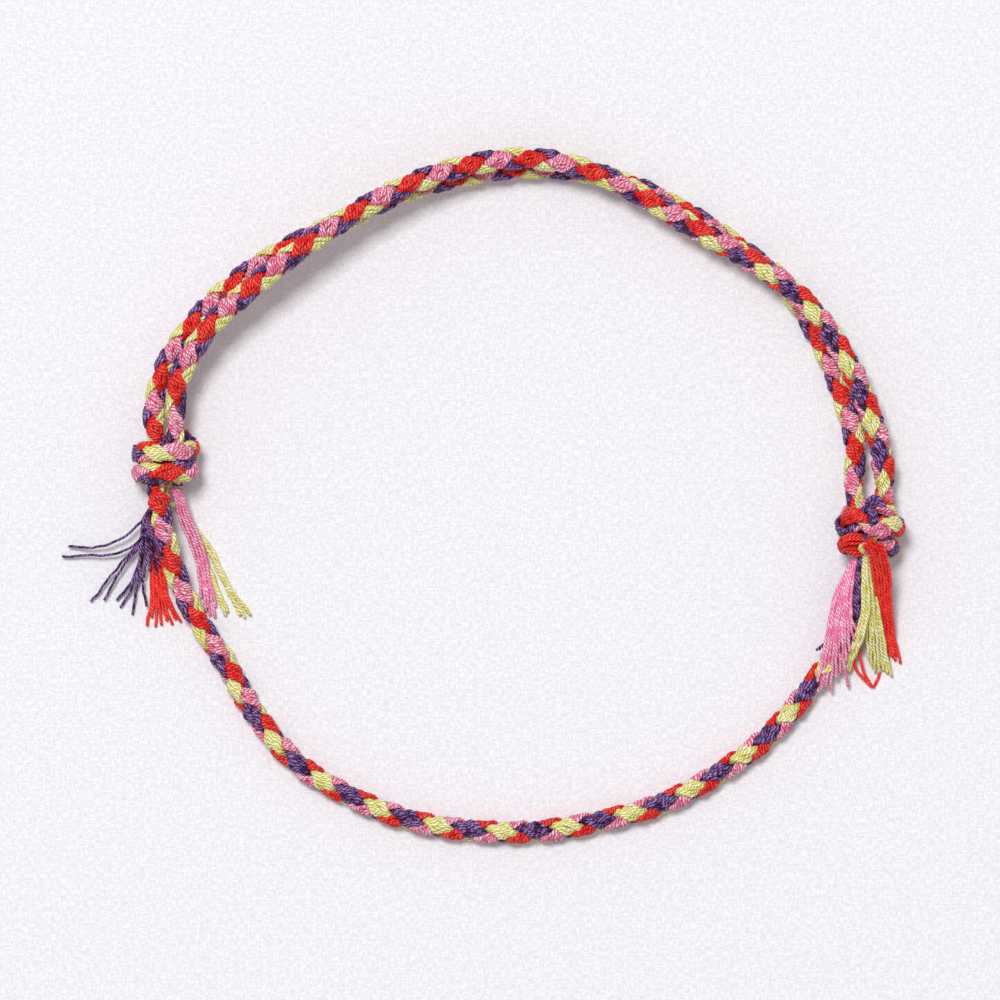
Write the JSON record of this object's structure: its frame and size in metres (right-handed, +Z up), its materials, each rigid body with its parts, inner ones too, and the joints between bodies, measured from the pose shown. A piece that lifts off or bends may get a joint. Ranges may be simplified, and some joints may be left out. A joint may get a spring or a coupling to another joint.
{
  "type": "braided cord bracelet",
  "caption": "Closed loop of round four-strand braided floss cord, with an adjustable sliding knot and a frayed tassel at each end.",
  "frame": {"origin": "bottom centre of the bounding box, on the surface that the bracelet lies on", "axes": "+X from the left knot to the right knot, +Y towards the doubled upper arc, +Z up"},
  "size_m": [0.0758, 0.0626, 0.0069],
  "materials": {
    "red": "glossy two-ply floss",
    "pink": "glossy two-ply floss",
    "purple": "glossy two-ply floss",
    "lime": "glossy two-ply floss"
  },
  "bodies": {
    "root": {"strand_red": "red", "strand_pink": "pink", "strand_purple": "purple", "strand_lime": "lime", "tassel_left_red": "red", "tassel_left_pink": "pink", "tassel_left_purple": "purple", "tassel_left_lime": "lime", "tassel_right_red": "red", "tassel_right_pink": "pink", "tassel_right_purple": "purple", "tassel_right_lime": "lime"}
  },
  "joints": []
}
